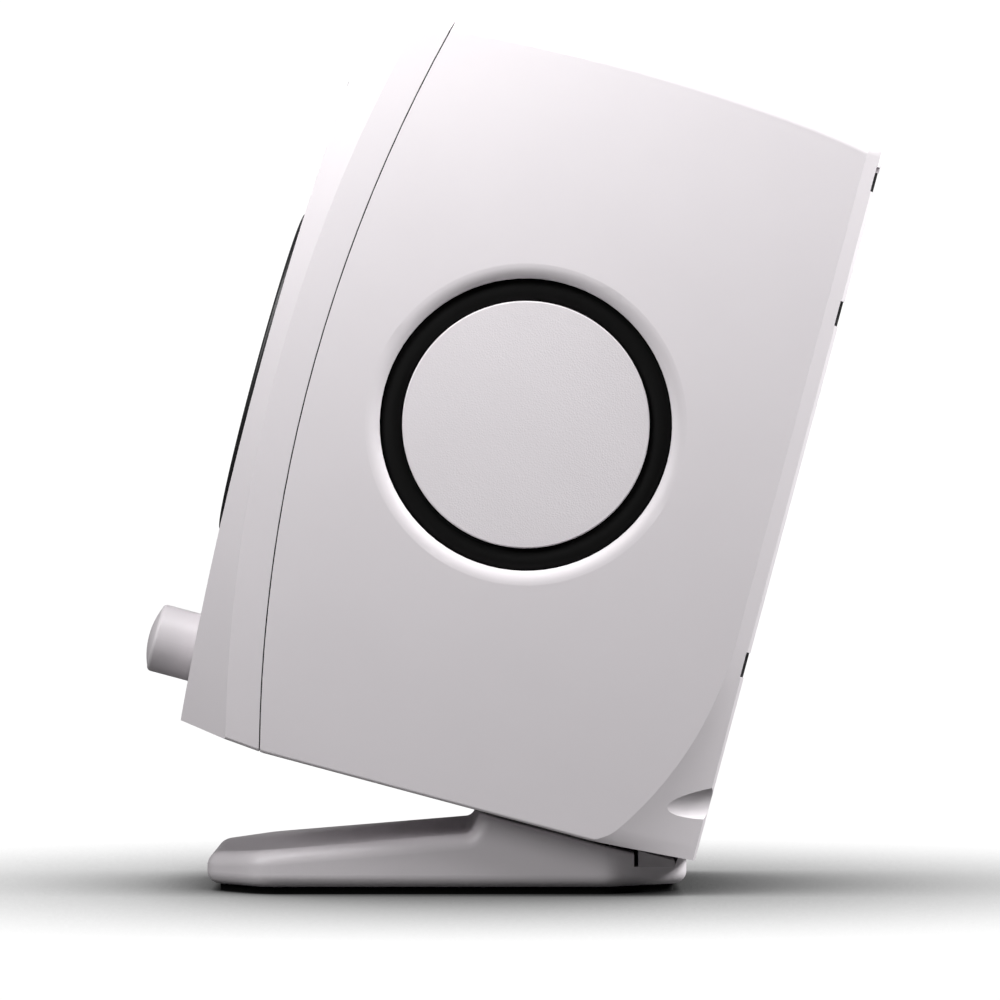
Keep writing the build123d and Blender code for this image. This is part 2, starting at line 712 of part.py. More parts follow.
def rear_panel_screws():
    head_y = PANEL_BACK_Y - PANEL_SCREW_HEAD
    return [
        rod(1.5, 138.5, head_y, x, z) + rod(2.8, head_y, PANEL_BACK_Y - 0.1, x, z)
        for x, z in panel_screw_places()
    ]


def line_jacks():
    jacks = []
    for x in (-LINE_JACK_X, LINE_JACK_X):
        jack = block((x - 8, x + 8), (BOARD_Y + BOARD_THICK, PANEL_FRONT_Y), (LINE_JACK_Z - 8, LINE_JACK_Z + 8))
        jack += rod(5.4, PANEL_FRONT_Y, PANEL_BACK_Y, x, LINE_JACK_Z)
        jack += rod(7.6, PANEL_BACK_Y - COLLAR_THICK, PANEL_BACK_Y + 0.2, x, LINE_JACK_Z)
        jacks.append(jack - rod(PLUG_6_35_RADIUS, BOARD_Y + 4, 150, x, LINE_JACK_Z))
    return jacks


def usb_socket():
    """Metal shell with its tongue."""
    shell = rounded_plate(9.4, 3.6, 1.6, 134, PANEL_BACK_Y)
    shell -= rounded_plate(8.4, 2.6, 1.2, 136, 150)
    shell += block((-3.3, 3.3), (135, 144.6), (-0.35, 0.35))
    shell += block((-5.5, 5.5), (132, 134), (-3.5, 3.5))
    return Pos(USB_X, 0, USB_Z) * shell


def link_socket():
    """Rectangular socket for the lead to the second speaker."""
    body = block((-7.8, 7.8), (128, PANEL_BACK_Y), (-6.5, 6.5))
    body -= block((-5.9, 5.9), (132, 150), (-4.2, 3.6))
    body -= block((-2.0, 2.0), (132, 150), (3.0, 5.4))
    return Pos(LINK_X, 0, LINK_Z) * body


def dc_inlet():
    body = block((-6, 6), (129, PANEL_FRONT_Y), (-6, 6)) + rod(4.6, PANEL_FRONT_Y, PANEL_BACK_Y)
    body -= rod(3.2, 133, 150)
    body += rod(1.0, 132, PANEL_BACK_Y - 1.5)
    return Pos(DC_X, 0, DC_Z) * body


def power_switch():
    """Switch housing with the bore that the button slides in."""
    body = block((-8, 8), (128, PANEL_FRONT_Y), (-8, 8)) + rod(6.6, PANEL_FRONT_Y, PANEL_BACK_Y)
    body -= rod(5.7, 134, 150)
    return Pos(POWER_X, 0, POWER_Z) * body


def power_button():
    cap = rod(5.6, 136.5, PANEL_BACK_Y + 0.2)
    cap = fillet(cap.edges().sort_by(Axis.Y)[-1], 0.8)
    return Pos(POWER_X, 0, POWER_Z) * cap


def tuning_switches():
    bodies = []
    for x in SWITCH_X:
        body = block((x - 7, x + 7), (136, PANEL_FRONT_Y), (SWITCH_Z - 3.5, SWITCH_Z + 3.5))
        slot = block((x - 5.4, x + 5.4), (139, 150), (SWITCH_Z - 1.7, SWITCH_Z + 1.7))
        bodies.append(body - slot)
    return bodies


def tuning_slider(x):
    """Slider foot in the switch body, with its finger tab out of the slot."""
    foot_front, foot_back, height = 139.3, 142.2, (SWITCH_Z - 1.4, SWITCH_Z + 1.4)
    foot = block((x - 2.6, x + 2.6), (foot_front, foot_back), height)
    return foot + block((x - 1.5, x + 1.5), (foot_back, PANEL_BACK_Y + 0.1), height)


def amplifier_board():
    board = block((-42, 42), (BOARD_Y, BOARD_Y + BOARD_THICK), (24, 182))
    for x, z in STANDOFFS:
        board -= rod(1.5, BOARD_Y - 1, BOARD_Y + 4, x, z)
    return board


def board_standoffs():
    hexagon = Plane.XZ * RegularPolygon(3.2, 6)
    pillar = extrude(hexagon, -(PANEL_FRONT_Y - BOARD_Y - BOARD_THICK))
    pillar = Pos(0, BOARD_Y + BOARD_THICK, 0) * pillar + rod(1.5, BOARD_Y - 1.5, BOARD_Y + BOARD_THICK)
    return [Pos(x, 0, z) * pillar for x, z in STANDOFFS]


def heat_sink():
    sink = block((-40, -8), (PANEL_FRONT_Y - 4, PANEL_FRONT_Y), (56, 104))
    for i in range(7):
        x = -39.2 + 5.0 * i
        sink += block((x - 0.8, x + 0.8), (120, PANEL_FRONT_Y - 4), (56, 104))
    return sink


def capacitors():
    places = ((-26, 150), (-8, 150), (12, 156), (30, 150))
    can = rod(8, BOARD_Y - 24, BOARD_Y)
    can = fillet(can.edges().sort_by(Axis.Y)[0], 1.2)
    return [Pos(x, 0, z) * can for x, z in places]


def damping_foam():
    foam = block((-36, 36), (40, 100), (180, CAVITY_HIGH_Z))
    return fillet(foam.edges().filter_by(Axis.Y).sort_by(Axis.Z)[:2], 4)


def lead(points, bend, radius):
    """An internal cable on straight runs joined by arcs."""
    path = FilletPolyline(*points, radius=bend)
    section = Plane(origin=path @ 0, z_dir=path % 0) * Circle(radius)
    return sweep(section, path)


def driver_leads():
    woofer = lead([(14, 50, 74), (14, 66, 60), (20, 92, 62), (20, BOARD_Y, 62)], 12, 1.3)
    tweeter = lead([(0, 24, 158), (0, 52, 158), (6, 84, 128), (6, BOARD_Y, 128)], 14, 1.3)
    return [woofer, tweeter]


def front_cable():
    return lead([(-14, 15.0, 22), (-14, 40, 22), (-20, 72, 12), (-20, 96, 34), (-20, BOARD_Y, 34)], 9, 1.6)


def threaded_insert():
    thread = Cylinder(SCREW_RADIUS + FIT, 2 * INSERT_LENGTH)
    return Pos(0, SCREW_Y, INSERT_Z) * (Cylinder(INSERT_RADIUS, INSERT_LENGTH) - thread)


# ---------------------------------------------------------------- stand


def belly_world_z(y):
    """Height of the speaker's flat belly over a place on the stand."""
    down = (y - CORNER_Y) * sin(radians(LEAN)) / cos(radians(LEAN))
    return CORNER_Z - down + BELLY_Z / cos(radians(LEAN))


def stand_plan(inset, low, high):
    """The stand's outline from above, pulled in by inset, as a prism."""
    half = STAND_HALF - inset
    front, rear = STAND_FRONT_Y + inset, STAND_REAR_Y - inset
    right = [(32.0 - inset * 0.6, front), (half, front + 14.5), (half, 27.0), (33.0 - inset * 0.6, rear)]
    left = [(-x, y) for x, y in reversed(right)]
    prism = extrude(Plane.XY.offset(low) * make_face(Polyline(*right, *left, close=True)), high - low)
    return fillet(prism.edges().filter_by(Axis.Z), max(9.0 - inset, 2.0))


def stand_side():
    """The stand's side view: tongue, riser under the belly, rear ledge with its lip."""
    tongue_end = TONGUE_Z + TONGUE_SLOPE * (RISER_Y - STAND_FRONT_Y)
    ledge_y, lip_y = LEDGE_Y, LIP_Y
    riser_top = belly_world_z(RISER_Y + RISER_RAKE) - REST_PAD / cos(radians(LEAN))
    ledge_top = belly_world_z(ledge_y) - REST_PAD / cos(radians(LEAN))
    return Polyline(
        (STAND_FRONT_Y, STAND_BOTTOM_Z),
        (STAND_FRONT_Y, TONGUE_Z),
        (RISER_Y, tongue_end),
        (RISER_Y + RISER_RAKE, riser_top),
        (ledge_y, ledge_top),
        (ledge_y, LEDGE_Z),
        (lip_y, LEDGE_Z),
        (lip_y + 1.0, LIP_Z),
        (STAND_REAR_Y, LIP_Z),
        (STAND_REAR_Y, STAND_BOTTOM_Z),
        close=True,
    )


def screw_axis(piece):
    """A piece drawn about Z at the belly, moved onto the leaned screw line."""
    return in_place(Pos(0, SCREW_Y, BELLY_Z) * piece)


def on_riser_foot(point):
    """True on the inner corner between tongue and riser."""
    return abs(point.Y - RISER_Y) < 0.01 and abs(point.X) < 1 and point.Z < 20


def on_tongue_rim(point):
    """True on the edge round the tongue's top."""
    rim_z = TONGUE_Z + TONGUE_SLOPE * (point.Y - STAND_FRONT_Y)
    return point.Y < RISER_Y - 2.5 and abs(point.Z - rim_z) < 0.6


def on_lip_rim(point):
    """True on the top edges of the rear lip."""
    return point.Y > LIP_Y - 0.1 and point.Z > LIP_Z - 0.1


def on_riser_side(point):
    """True on the riser's sloping side edges."""
    return RISER_Y + RISER_RAKE < point.Y < LEDGE_Y - 0.1 and point.Z > 10.6 and abs(point.X) > 40


def stand_base():
    profile = Plane.YZ * make_face(stand_side())
    base = extrude(profile, STAND_HALF, both=True) & stand_plan(0, 0, 40)
    base = fillet([edge for edge in base.edges() if on_riser_foot(edge.center())], FOOT_ROUND)
    base = fillet([edge for edge in base.edges() if on_tongue_rim(edge.center())], NOSE_ROUND)
    base = fillet([edge for edge in base.edges() if abs(edge.center().Z - STAND_BOTTOM_Z) < 0.01], SOLE_ROUND)
    base = fillet([edge for edge in base.edges() if on_lip_rim(edge.center())], LIP_ROUND)
    base = fillet([edge for edge in base.edges() if on_riser_side(edge.center())], RISER_ROUND)
    riser_hollow = block((-41, 41), (-14, 24), (-1, 11.0)) - screw_axis(Pos(0, 0, -10) * Cylinder(17, 40))
    base -= block((-41, 41), (-74, -14), (-1, 8.5))
    base -= riser_hollow
    base -= screw_axis(Pos(0, 0, -20 - HEAD_SEAT) * Cylinder(HEAD_RADIUS + 2.0, 40))
    base -= screw_axis(Cylinder(SCREW_RADIUS + 0.4, 60))
    return base


def stand_sole():
    ring = stand_plan(SOLE_ROUND + 0.2, 0, STAND_BOTTOM_Z)
    return ring - stand_plan(8.5, -1, STAND_BOTTOM_Z + 1)


def stand_thumb_screw():
    """Knurled screw that clamps the speaker to the stand."""
    screw = Pos(0, 0, -0.5) * Cylinder(SCREW_RADIUS, 18)
    head_z, notch_ring = -HEAD_SEAT - 0.2 - HEAD_THICK / 2, HEAD_RADIUS + 0.3
    head = Pos(0, 0, head_z) * Cylinder(HEAD_RADIUS, HEAD_THICK)
    for i in range(GRIP_NOTCHES):
        turn = 2 * pi * i / GRIP_NOTCHES
        head -= Pos(notch_ring * cos(turn), notch_ring * sin(turn), head_z) * Cylinder(0.7, HEAD_THICK + 1)
    return screw_axis(screw + head)


def stand_top_pad():
    """Thin rubber pad between riser and belly."""
    pad = block((-TOP_PAD_X, TOP_PAD_X), (-16, 22), (-REST_PAD, 0)) - Cylinder(8, 4)
    return screw_axis(pad)


def stand_rear_pad():
    """Block in the rear ledge that the speaker's heel rests on."""
    slab = block((-REAR_PAD_X, REAR_PAD_X), (LEDGE_Y + 1.2, LIP_Y - 0.4), (LEDGE_Z, 20))
    heel = in_place(block((-60, 60), (60, 160), (BELLY_Z, 60)))
    return slab - heel


# ---------------------------------------------------------------- all pieces


def speaker_pieces():
    body = envelope()
    pieces = {
        "rear_cabinet": rear_cabinet(body),
        "front_baffle": front_baffle(body),
        "baffle_gasket": baffle_gasket(body),
        "baffle_screws": baffle_screws(),
        "woofer_grille": woofer_grille(),
        "woofer_basket": woofer_basket(),
        "woofer_screws": woofer_screws(),
        "woofer_cone": woofer_cone(),
        "woofer_dust_cap": woofer_dust_cap(),
        "woofer_surround": woofer_surround(),
        "woofer_spider": woofer_spider(),
        "voice_coil": voice_coil(),
        "woofer_top_plate": woofer_top_plate(),
        "woofer_magnet": woofer_magnet(),
        "woofer_back_plate": woofer_back_plate(),
        "tweeter_waveguide": tweeter_waveguide(),
        "tweeter_screws": tweeter_screws(),
        "tweeter_diaphragm": tweeter_diaphragm(),
        "tweeter_magnet": tweeter_magnet(),
        "volume_knob": volume_knob(),
        "encoder_shaft": encoder_shaft(),
        "encoder_body": encoder_body(),
        "encoder_plunger": encoder_plunger(),
        "headphone_jack": headphone_jack(),
        "status_light": status_light(),
        "front_board": front_board(),
        "rear_panel": rear_panel(),
        "rear_panel_screws": rear_panel_screws(),
        "line_jacks": line_jacks(),
        "usb_socket": usb_socket(),
        "link_socket": link_socket(),
        "dc_inlet": dc_inlet(),
        "power_switch": power_switch(),
        "power_button": power_button(),
        "tuning_switches": tuning_switches(),
        "amplifier_board": amplifier_board(),
        "board_standoffs": board_standoffs(),
        "heat_sink": heat_sink(),
        "capacitors": capacitors(),
        "damping_foam": damping_foam(),
        "driver_leads": driver_leads(),
        "front_cable": front_cable(),
        "threaded_insert": threaded_insert(),
    }
    for number, x in enumerate(SWITCH_X, 1):
        pieces[f"tuning_slider_{number}"] = tuning_slider(x)
    frames, screws = [], []
    for name, side in (("right", 1), ("left", -1)):
        frames.append(at_radiator(radiator_frame(), side))
        screws += [at_radiator(screw, side) for screw in radiator_screws()]
        pieces[f"{name}_radiator_surround"] = at_radiator(radiator_surround(), side)
        pieces[f"{name}_radiator_disc"] = at_radiator(radiator_disc(), side)
        pieces[f"{name}_radiator_weight"] = at_radiator(radiator_weight(), side)
    pieces["radiator_frames"] = frames
    pieces["radiator_screws"] = screws
    return pieces


def stand_pieces():
    return {
        "stand_base": stand_base(),
        "stand_sole": stand_sole(),
        "stand_thumb_screw": stand_thumb_screw(),
        "stand_top_pad": stand_top_pad(),
        "stand_rear_pad": stand_rear_pad(),
    }


def solids_of(piece):
    """The solids of a piece that is one shape or a group of them."""
    shapes = piece if isinstance(piece, list) else [piece]
    return [solid for shape in shapes for solid in shape.solids()]


os.makedirs("parts", exist_ok=True)
all_pieces = {name: [in_place(s) for s in solids_of(piece)] for name, piece in speaker_pieces().items()}
all_pieces.update({name: solids_of(piece) for name, piece in stand_pieces().items()})
for name, solids in all_pieces.items():
    export_step(Compound(children=solids), f"parts/{name}.step")
whole = Compound(children=[solid for solids in all_pieces.values() for solid in solids]).bounding_box()
print("nodes", len(all_pieces), "box", whole.min, whole.max)
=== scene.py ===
import bpy
import bmesh
import json
from math import cos, hypot, pi, radians, sin, sqrt, tau
from mathutils import Matrix, Vector
from mathutils.geometry import delaunay_2d_cdt
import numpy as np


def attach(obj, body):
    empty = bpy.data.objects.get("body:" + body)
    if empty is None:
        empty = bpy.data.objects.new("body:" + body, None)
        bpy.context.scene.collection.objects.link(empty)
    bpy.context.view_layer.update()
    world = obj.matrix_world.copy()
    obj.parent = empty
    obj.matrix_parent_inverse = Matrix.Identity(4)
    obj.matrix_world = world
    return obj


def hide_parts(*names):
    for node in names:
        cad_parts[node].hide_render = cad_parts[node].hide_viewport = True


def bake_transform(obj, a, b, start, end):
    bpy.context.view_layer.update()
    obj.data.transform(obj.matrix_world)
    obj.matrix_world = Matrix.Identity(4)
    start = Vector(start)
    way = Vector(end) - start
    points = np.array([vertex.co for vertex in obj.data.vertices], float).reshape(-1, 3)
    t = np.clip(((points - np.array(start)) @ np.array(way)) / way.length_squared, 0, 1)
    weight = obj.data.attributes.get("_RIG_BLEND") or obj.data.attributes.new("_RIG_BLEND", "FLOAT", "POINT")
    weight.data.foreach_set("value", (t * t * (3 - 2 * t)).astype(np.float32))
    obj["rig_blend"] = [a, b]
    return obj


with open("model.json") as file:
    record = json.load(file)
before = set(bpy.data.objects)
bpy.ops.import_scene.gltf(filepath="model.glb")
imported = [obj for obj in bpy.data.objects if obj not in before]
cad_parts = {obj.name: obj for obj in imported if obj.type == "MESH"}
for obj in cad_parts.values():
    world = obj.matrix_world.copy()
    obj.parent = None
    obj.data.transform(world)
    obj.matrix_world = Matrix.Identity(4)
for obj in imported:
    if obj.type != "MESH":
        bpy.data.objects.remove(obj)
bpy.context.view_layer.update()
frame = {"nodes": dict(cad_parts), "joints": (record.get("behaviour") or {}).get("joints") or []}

# A powered desktop loudspeaker, leaned back on its own stand. All lengths are in metres.
# Cabinet axes: X across, Y from front to rear, Z up, leaned with the cabinet about the row frame's X axis.

# ---- camera ----
CAMERA_REACH = 1.6
CAMERA_HEIGHT = 0.1084
CAMERA_SIDESTEP = -0.0039
CAMERA_LENS_MM = 203.5
CAMERA_SENSOR_MM = 36.0
CAMERA_SIGHT = 100.0

# ---- meshes ----
WELD_REACH = 1e-7
SHARP_ANGLE = radians(35.0)
SOLID_DIGITS = 6

# ---- woofer grille ----
HOLE_PITCH = 0.0020
HOLE_RADIUS = 0.00066
HOLE_SIDES = 12
HOLE_CELL = HOLE_PITCH / sqrt(3)
HOLE_ROW_PITCH = HOLE_PITCH * sqrt(3) / 2
GRILLE_SHEET = 0.0006
GRILLE_BEND = 0.0009
GRILLE_BEND_STEPS = 4
GRILLE_EDGE_STEPS = 288
GRILLE_CROWN_RADIUS = 1.1112
GRILLE_CROWN_DROP = 0.004
GRILLE_EDGE_LAND = 0.0012
CORNER_DIGITS = 7
FILL_WHOLE_HULL = 0
FILL_REACH = 1e-8

# ---- suspensions ----
ROUND_STEPS = 144
ROLL_STEPS = 18
SUSPENSION_SKIN = 0.0005
RADIATOR_LANDS = (0.0034, 0.0034)
WOOFER_LANDS = (0.0022, 0.0026)
SPIDER_WAVES = 4
SPIDER_STEPS = 64
SPIDER_LANDS = (0.0006, 0.0020)

# ---- screws: heights of the heads, and shares of a head's radius or height ----
SCREW_STEPS = 24
PANEL_SCREW_HEAD = 0.0011
TWEETER_SCREW_HEAD = 0.0010
WOOFER_SCREW_HEAD = 0.0013
SCREW_EDGE_SHARE = 0.1
SCREW_SHANK_SHARE = 0.53
SCREW_TIP_SHARE = 0.6
SCREW_TIP_LENGTH_SHARE = 0.4
SCREW_SOCKET_SIDES = 6
SCREW_SOCKET_SHARE = 0.46
SCREW_SOCKET_DEPTH_SHARE = 0.6

# ---- damping foam ----
FOAM_STEP = 0.0015
FOAM_PEAK_PITCH = 0.015
FOAM_PEAK = 0.006

# ---- finishes: the colour of the white parts, and the size of gloss smears as a share of a cloud ----
WHITE = (0.835, 0.793, 0.822)
SMEAR_SHARE = 0.4

# ---- stage ----
FLOOR_HALF = 8.0
FLOOR_WHITE = 1.04
FLOOR_BOUNCE = (0.10, 0.10, 0.10, 1.0)
# Painted contact shadow on the floor: how far occlusion reaches, how hard it darkens, and its samples.
SHADE_REACH = 0.17
SHADE_DEPTH = 2.6
SHADE_SAMPLES = 16
BACKDROP_WHITE = 1.05
ROOM_TINT = (1.0, 0.985, 1.0, 1.0)
ROOM_GLOW = 0.03
LIGHT_TARGET = (0.03, 0.0, 0.12)
FAR_LIGHT_TARGET = (-0.03, 0.0, 0.14)

JOINTS = {joint["name"]: joint for joint in frame["joints"]}
FRONT = Vector(JOINTS["knob_turn"]["axis"]).normalized()
REAR = -FRONT
RIGHT = Vector((1.0, 0.0, 0.0))
UP = RIGHT.cross(REAR)
LEAN = Matrix((RIGHT, REAR, UP)).transposed()


# ---------------------------------------------------------------- places read from the frame


def leaned_points(node):
    """A CAD node's vertices in the cabinet's own axes."""
    back = LEAN.inverted()
    return [back @ vertex.co for vertex in frame["nodes"][node].data.vertices]


def extent(node):
    """Lowest and highest corner of a CAD node in the cabinet's own axes."""
    points = leaned_points(node)
    low = Vector(min(point[axis] for point in points) for axis in range(3))
    high = Vector(max(point[axis] for point in points) for axis in range(3))
    return low, high


def facing(centre, outward):
    """A place whose local Z looks outward from a centre in the row frame."""
    turn = outward.to_track_quat("Z", "Y").to_matrix().to_4x4()
    return Matrix.Translation(centre) @ turn


def solids_of(node):
    """Box corners, in the cabinet's axes, of each separate solid in a CAD node."""
    mesh = frame["nodes"][node].data
    points = leaned_points(node)
    leader = {}

    def root(key):
        while leader.setdefault(key, key) != key:
            key = leader[key]
        return key

    keys = [tuple(round(value, SOLID_DIGITS) for value in point) for point in points]
    for polygon in mesh.polygons:
        first = root(keys[polygon.vertices[0]])
        for index in polygon.vertices[1:]:
            leader[root(keys[index])] = first
    groups = {}
    for key in set(keys):
        groups.setdefault(root(key), []).append(key)
    boxes = []
    for group in groups.values():
        low = Vector(min(key[axis] for key in group) for axis in range(3))
        high = Vector(max(key[axis] for key in group) for axis in range(3))
        boxes.append((low, high))
    return sorted(boxes, key=lambda box: tuple(box[0]))


# ---------------------------------------------------------------- mesh helpers


def piece(node, points, faces, slot, body=None):
    """A mesh in the row frame that stands for a CAD node, with its finish; it may ride on a body."""
    mesh = bpy.data.meshes.new(node + "_mesh")
    mesh.from_pydata([tuple(point) for point in points], [], faces)
    shell = bmesh.new()
    shell.from_mesh(mesh)
    bmesh.ops.remove_doubles(shell, verts=shell.verts, dist=WELD_REACH)
    bmesh.ops.recalc_face_normals(shell, faces=shell.faces)
    shell.to_mesh(mesh)
    shell.free()
    mesh.shade_smooth()
    mesh.set_sharp_from_angle(angle=SHARP_ANGLE)
    made = bpy.data.objects.new(node + "_mesh", mesh)
    bpy.context.scene.collection.objects.link(made)
    made.data.materials.append(finish(slot))
    if body:
        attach(made, body)
    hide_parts(node)
    return made


def capped_skin(loops):
    """Points and faces of a skin through loops of equal length, with both ends capped."""
    count = len(loops[0])
    points = [point for loop in loops for point in loop]
    faces = []
    for level in range(len(loops) - 1):
        for step in range(count):
            after = (step + 1) % count
            low, high = level * count, (level + 1) * count
            faces.append((low + step, low + after, high + after, high + step))
    faces.append(tuple(range(count)))
    faces.append(tuple(range(len(points) - count, len(points))))
    return points, faces


def turned(profile, place):
    """Points and faces of a closed (radius, height) profile turned about a place's local Z."""
    count = len(profile)
    points = []
    for step in range(ROUND_STEPS):
        angle = tau * step / ROUND_STEPS
        for radius, height in profile:
            points.append(place @ Vector((radius * cos(angle), radius * sin(angle), height)))
    faces = []
    for step in range(ROUND_STEPS):
        here, after = step * count, ((step + 1) % ROUND_STEPS) * count
        for index in range(count):
            index_after = (index + 1) % count
            faces.append((here + index, here + index_after, after + index_after, after + index))
    return points, faces


# ---------------------------------------------------------------- materials


def add(tree, kind, settings=None, **inputs):
    """Adds a shader node; an input is a number, a colour or another node's socket."""
    node = tree.nodes.new(kind)
    for key, value in (settings or {}).items():
        setattr(node, key, value)
    for key, value in inputs.items():
        socket = node.inputs[key.replace("_", " ")]
        if isinstance(value, bpy.types.NodeSocket):
            tree.links.new(value, socket)
        else:
            socket.default_value = value
    return node


def start(name):
    """A new material with its shader and the surface position, in metres."""
    material = bpy.data.materials.new(name)
    material.use_nodes = True
    tree = material.node_tree
    tree.nodes.clear()
    shader = add(tree, "ShaderNodeBsdfPrincipled")
    add(tree, "ShaderNodeOutputMaterial", Surface=shader.outputs["BSDF"])
    place = add(tree, "ShaderNodeTexCoord").outputs["Object"]
    return material, tree, shader, place


def noise(tree, place, size, detail=2.0):
    """Cloudy noise between 0 and 1 whose clouds have that size."""
    node = add(tree, "ShaderNodeTexNoise", Vector=place, Scale=1.0 / size, Detail=detail)
    return node.outputs["Fac"]


def cells(tree, place, size, feature="DISTANCE_TO_EDGE"):
    """Pebbles of that size."""
    node = add(tree, "ShaderNodeTexVoronoi", {"feature": feature}, Vector=place, Scale=1.0 / size)
    return node.outputs["Distance"]


def spread(tree, factor, low, high, start_at=0.3, end_at=0.7):
    """Maps a factor onto a range of numbers."""
    node = add(
        tree, "ShaderNodeMapRange",
        Value=factor, From_Min=start_at, From_Max=end_at, To_Min=low, To_Max=high,
    )
    return node.outputs["Result"]


def between(tree, factor, dark, light, start_at=0.3, end_at=0.7):
    """A colour between two, by a factor."""
    node = add(tree, "ShaderNodeValToRGB", Fac=factor)
    ramp = node.color_ramp
    ramp.elements[0].position, ramp.elements[1].position = start_at, end_at
    ramp.elements[0].color, ramp.elements[1].color = (*dark, 1.0), (*light, 1.0)
    return node.outputs["Color"]


def bump(tree, height, depth, normal=None):
    """Relief of that depth, over an earlier relief if there is one."""
    node = add(tree, "ShaderNodeBump", Height=height, Distance=depth, Strength=1.0)
    if normal:
        tree.links.new(normal, node.inputs["Normal"])
    return node.outputs["Normal"]


def stretched(tree, place, factors):
    """The surface position scaled along its axes."""
    node = add(tree, "ShaderNodeMapping", Vector=place, Scale=factors)
    return node.outputs["Vector"]


def shaded(colour, amount):
    """A colour made darker or lighter by a share of itself."""
    return tuple(min(value * (1.0 + amount), 1.0) for value in colour)


def surface(
    name, colour, gloss, cloud=0.04, vary=0.03, grain=0.0005, depth=0.00001, uneven=0.05, **constants
):
    """The base of most finishes: slow colour clouds, uneven gloss and a fine grain."""
    material, tree, shader, place = start(name)
    clouds = noise(tree, place, cloud, detail=3.0)
    fine = noise(tree, place, grain, detail=3.0)
    smears = noise(tree, place, cloud * SMEAR_SHARE, detail=4.0)
    base = between(tree, clouds, shaded(colour, -vary), shaded(colour, vary))
    tree.links.new(base, shader.inputs["Base Color"])
    tree.links.new(spread(tree, smears, gloss - uneven, gloss + uneven), shader.inputs["Roughness"])
    relief = bump(tree, fine, depth)
    tree.links.new(relief, shader.inputs["Normal"])
    for key, value in constants.items():
        shader.inputs[key.replace("_", " ")].default_value = value
    return material, tree, shader, place, relief


def plain(name, colour, **details):
    """A finish that is the base alone."""
    return surface(name, colour, **details)[0]


def pebbled(name, colour, pebble, pebble_depth, feature="DISTANCE_TO_EDGE", **details):
    """A finish with pebbles over the base."""
    material, tree, shader, place, relief = surface(name, colour, **details)
    pebbles = bump(tree, cells(tree, place, pebble, feature), pebble_depth, relief)
    tree.links.new(pebbles, shader.inputs["Normal"])
    return material


def brushed(name, colour, gloss, stretch):
    """Metal with fine lines along one axis."""
    material, tree, shader, place, relief = surface(
        name, colour, gloss, vary=0.05, grain=0.0004, depth=0.000003, Metallic=1.0
    )
    lines = noise(tree, stretched(tree, place, stretch), size=0.0002)
    tree.links.new(bump(tree, lines, depth=0.000006, normal=relief), shader.inputs["Normal"])
    return material


def cabinet_plastic():
    """White satin moulding with a very fine spark-eroded grain."""
    return pebbled(
        "cabinet_plastic", WHITE, pebble=0.0005, pebble_depth=0.000005,
        gloss=0.42, vary=0.012, grain=0.00035, depth=0.000006, uneven=0.03,
    )


def knob_plastic():
    """The same white, a little glossier."""
    return plain("knob_plastic", WHITE, gloss=0.38, vary=0.012, grain=0.0003, depth=0.000004, uneven=0.04)


def stand_plastic():
    """The same white with a slightly coarser grain."""
    return pebbled(
        "stand_plastic", WHITE, pebble=0.0006, pebble_depth=0.000005,
        gloss=0.40, vary=0.015, grain=0.0004, depth=0.000006, uneven=0.04,
    )


def disc_skin():
    """White skin with a fine leather grain: irregular pebbles with creases between."""
    material, tree, shader, place, relief = surface(
        "disc_skin", WHITE, gloss=0.55, vary=0.012, grain=0.0004, depth=0.000006, uneven=0.05
    )
    sway = 0.0012
    warp = add(tree, "ShaderNodeTexNoise", Vector=place, Scale=1.0 / 0.003, Detail=2.0)
    bent = add(tree, "ShaderNodeVectorMath", {"operation": "MULTIPLY_ADD"})
    tree.links.new(warp.outputs["Color"], bent.inputs[0])
    bent.inputs[1].default_value = (sway, sway, sway)
    tree.links.new(place, bent.inputs[2])
    pebbles = cells(tree, bent.outputs["Vector"], size=0.0007)
    raised = spread(tree, pebbles, 0.0, 1.0, start_at=0.0, end_at=0.3)
    lumps = bump(tree, raised, depth=0.000016, normal=relief)
    swells = bump(tree, noise(tree, place, size=0.0018), depth=0.00002, normal=lumps)
    tree.links.new(swells, shader.inputs["Normal"])
    return material


def rubber_black():
    """Dull black rubber."""
    return plain(
        "rubber_black", (0.005, 0.005, 0.005),
        gloss=0.85, vary=0.15, grain=0.0004, depth=0.00001, Specular_IOR_Level=0.15,
    )


def rubber_grey():
    """Light grey rubber of the rest block."""
    return plain("rubber_grey", (0.62, 0.59, 0.61), gloss=0.65, vary=0.08, grain=0.0005, depth=0.00002)


def grille_steel():
    """Black powder coat."""
    return plain("grille_steel", (0.014, 0.014, 0.015), gloss=0.42, vary=0.15, grain=0.00025, depth=0.00001)


def black_plastic():
    """Black moulding."""
    return plain(
        "black_plastic", (0.022, 0.022, 0.024), gloss=0.48, vary=0.12, grain=0.0005, depth=0.000015
    )


def cone_metal():
    """Grey anodised aluminium."""
    return brushed("cone_metal", (0.30, 0.30, 0.31), gloss=0.36, stretch=(1.0, 1.0, 0.3))


def foil():
    """Thin gold-toned film."""
    return brushed("foil", (0.72, 0.53, 0.25), gloss=0.28, stretch=(1.0, 1.0, 0.05))


def cast_frame():
    """Black paint over a rough casting."""
    return plain("cast_frame", (0.03, 0.03, 0.032), gloss=0.5, vary=0.15, grain=0.0008, depth=0.00005)


def plated_steel():
    """Zinc plate with cloudy passivation."""
    return brushed("plated_steel", (0.56, 0.56, 0.55), gloss=0.34, stretch=(1.0, 0.2, 1.0))


def screw_black():
    """Blackened steel."""
    return plain(
        "screw_black", (0.02, 0.02, 0.021),
        gloss=0.35, vary=0.2, grain=0.0003, depth=0.00001, Metallic=0.7,
    )


def magnet_ferrite():
    """Dark sintered ferrite with pores."""
    return plain("magnet_ferrite", (0.07, 0.07, 0.075), gloss=0.55, vary=0.2, grain=0.0006, depth=0.00006)


